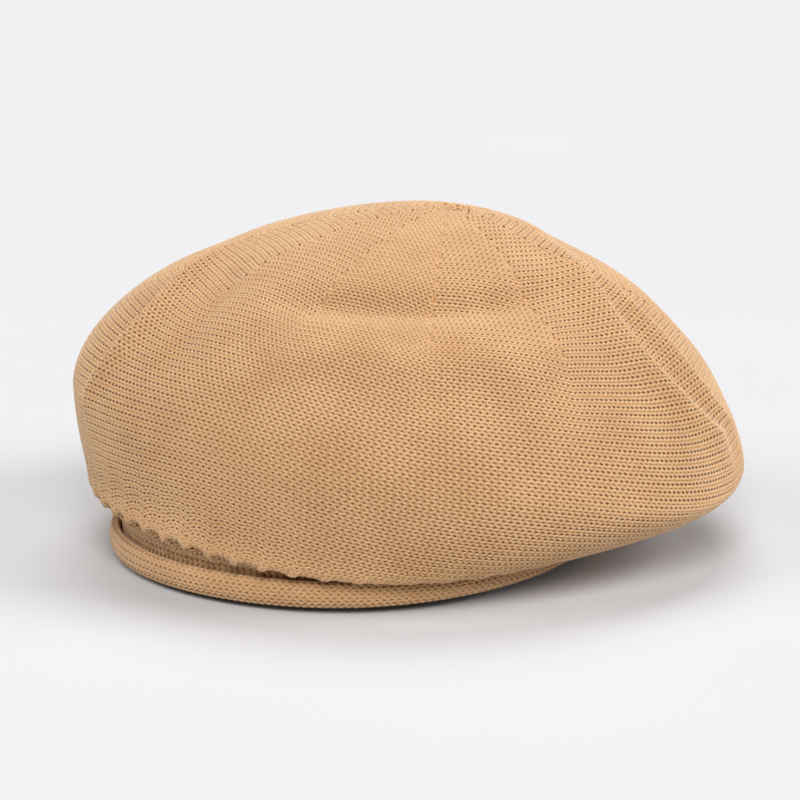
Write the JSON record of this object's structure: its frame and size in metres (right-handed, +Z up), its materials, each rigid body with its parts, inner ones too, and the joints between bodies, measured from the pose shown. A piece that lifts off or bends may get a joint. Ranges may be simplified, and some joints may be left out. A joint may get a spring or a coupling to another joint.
{
  "type": "knitted beret",
  "caption": "Puffed one-piece knitted beret, drooping to one side, with a narrow turned-up double headband and a round head opening.",
  "frame": {"origin": "centre of the head opening, in the plane that the headband rests on", "axes": "+Z up through the crown; +X towards the side that the crown droops to; +Y to the back, where the seams are"},
  "size_m": [0.271, 0.244, 0.1356],
  "materials": {
    "crown_knit": "matt bulky stockinette, camel, knitted sideways",
    "band_knit": "matt stockinette, camel, folded double",
    "seam_yarn": "matt plied yarn, camel",
    "elastic": "covered round elastic, off-white"
  },
  "bodies": {
    "root": {"crown": "crown_knit", "crown_join_seam": "seam_yarn", "drawstring": "seam_yarn", "drawstring_knot": "seam_yarn", "headband": "band_knit", "headband_join_seam": "seam_yarn", "linking_seam": "seam_yarn", "elastic_cord": "elastic"}
  },
  "joints": []
}
